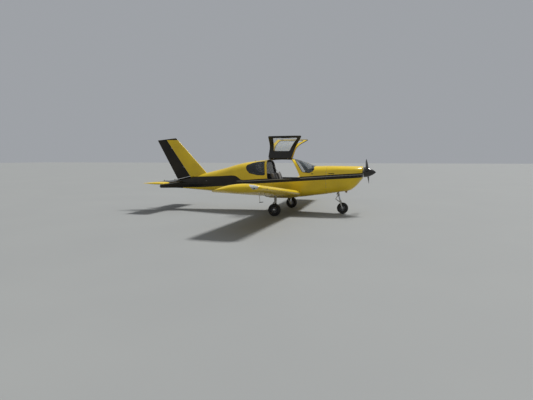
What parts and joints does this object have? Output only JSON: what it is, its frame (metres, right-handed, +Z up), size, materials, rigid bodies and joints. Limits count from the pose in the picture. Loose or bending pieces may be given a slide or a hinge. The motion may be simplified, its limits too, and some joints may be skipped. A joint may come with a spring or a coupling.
{
  "type": "light aircraft",
  "caption": "Low-wing touring aeroplane with open upward-swinging cabin doors, fixed tricycle gear, nose propeller and a swept fin.",
  "frame": {"origin": "on the ground, under the middle of the overall length and on the plane of symmetry", "axes": "+X to the nose, +Y to the left wing tip, +Z up"},
  "size_m": [7.7, 9.77, 2.4979],
  "materials": {
    "yellow_paint": "gloss paint on sheet",
    "yellow_composite": "gloss paint",
    "black_composite": "gloss paint",
    "clear_pane": "clear",
    "dark_trim": "matte grained",
    "seat_cloth": "woven",
    "gear_paint": "satin paint",
    "wheel_metal": "satin paint",
    "tyre": "matte",
    "propeller_metal": "matte paint",
    "bare_metal": "mill",
    "exhaust_steel": "heat stained",
    "engine": "cast"
  },
  "bodies": {
    "airframe": {"cowl_upper": "yellow_paint", "cowl_lower": "yellow_paint", "engine_block": "engine", "firewall": "bare_metal", "fuselage_front": "yellow_paint", "cabin_tub": "yellow_paint", "baggage_wall": "dark_trim", "cabin_top": "yellow_composite", "tail_boom": "yellow_paint", "tail_cone": "black_composite", "windscreen": "clear_pane", "rear_window_left": "clear_pane", "rear_window_right": "clear_pane", "wing_left": "yellow_paint", "wing_tip_left": "yellow_composite", "wing_right": "yellow_paint", "wing_tip_right": "yellow_composite", "fin": "yellow_composite", "main_leg_left": "gear_paint", "main_leg_right": "gear_paint", "nose_leg": "gear_paint", "exhaust": "exhaust_steel", "instrument_panel": "dark_trim", "seat_left": "seat_cloth", "seat_right": "seat_cloth", "rear_bench": "seat_cloth", "yoke_left": "dark_trim", "yoke_right": "dark_trim"},
    "propeller": {"propeller": "propeller_metal", "spinner": "black_composite"},
    "nose_fork": {"nose_fork": "gear_paint"},
    "nose_wheel": {"nose_wheel": "wheel_metal", "nose_tyre": "tyre"},
    "main_wheel_left": {"main_left_wheel": "wheel_metal", "main_left_tyre": "tyre"},
    "main_wheel_right": {"main_right_wheel": "wheel_metal", "main_right_tyre": "tyre"},
    "door_left": {"door_left": "yellow_composite", "door_glass_left": "clear_pane"},
    "door_right": {"door_right": "yellow_composite", "door_glass_right": "clear_pane"},
    "flap_left": {"flap_left": "yellow_paint"},
    "flap_right": {"flap_right": "yellow_paint"},
    "aileron_left": {"aileron_left": "yellow_paint"},
    "aileron_right": {"aileron_right": "yellow_paint"},
    "rudder": {"rudder": "black_composite"},
    "stabilator": {"stabilator": "yellow_composite"}
  },
  "joints": [
    {"name": "propeller_spin", "type": "hinge", "parent": "airframe", "child": "propeller", "pos_m": [3.588, 0, 1.345], "axis": [1, 0, 0], "continuous": true},
    {"name": "nose_steering", "type": "hinge", "parent": "airframe", "child": "nose_fork", "pos_m": [2.818, 0, 0.18], "axis": [-0.2659, 0, 0.964], "range_deg": [-20, 20]},
    {"name": "nose_wheel_spin", "type": "hinge", "parent": "nose_fork", "child": "nose_wheel", "pos_m": [2.83, 0, 0.18], "axis": [0, 1, 0], "continuous": true},
    {"name": "main_wheel_left_spin", "type": "hinge", "parent": "airframe", "child": "main_wheel_left", "pos_m": [0.87, 1.165, 0.193], "axis": [0, 1, 0], "continuous": true},
    {"name": "main_wheel_right_spin", "type": "hinge", "parent": "airframe", "child": "main_wheel_right", "pos_m": [0.87, -1.165, 0.193], "axis": [0, 1, 0], "continuous": true},
    {"name": "door_left_swing", "type": "hinge", "parent": "airframe", "child": "door_left", "pos_m": [0.8, 0.08, 1.773], "axis": [-1, 0, 0], "range_deg": [0, 99]},
    {"name": "door_right_swing", "type": "hinge", "parent": "airframe", "child": "door_right", "pos_m": [0.8, -0.08, 1.773], "axis": [1, 0, 0], "range_deg": [0, 107]},
    {"name": "flap_left_swing", "type": "hinge", "parent": "airframe", "child": "flap_left", "pos_m": [0.61944, 1.782, 0.73175], "axis": [0, -0.9945, -0.1045], "range_deg": [0, 30]},
    {"name": "flap_right_swing", "type": "hinge", "parent": "airframe", "child": "flap_right", "pos_m": [0.61944, -1.782, 0.73175], "axis": [0, -0.9945, 0.1045], "range_deg": [0, 30]},
    {"name": "aileron_left_swing", "type": "hinge", "parent": "airframe", "child": "aileron_left", "pos_m": [0.61944, 3.68154, 0.9314], "axis": [0, -0.9945, -0.1045], "range_deg": [-18, 18]},
    {"name": "aileron_right_swing", "type": "hinge", "parent": "airframe", "child": "aileron_right", "pos_m": [0.61944, -3.68154, 0.9314], "axis": [0, -0.9945, 0.1045], "range_deg": [-18, 18]},
    {"name": "rudder_swing", "type": "hinge", "parent": "airframe", "child": "rudder", "pos_m": [-2.58, 0, 1.13], "axis": [-0.5809, 0, 0.8139], "range_deg": [-25, 25]},
    {"name": "stabilator_swing", "type": "hinge", "parent": "airframe", "child": "stabilator", "pos_m": [-2.955, 0, 0.965], "axis": [0, 1, 0], "range_deg": [-6, 14]}
  ],
  "couplings": [
    {"joint": "flap_right_swing", "follows": "flap_left_swing", "ratio": 1},
    {"joint": "aileron_right_swing", "follows": "aileron_left_swing", "ratio": -1}
  ]
}
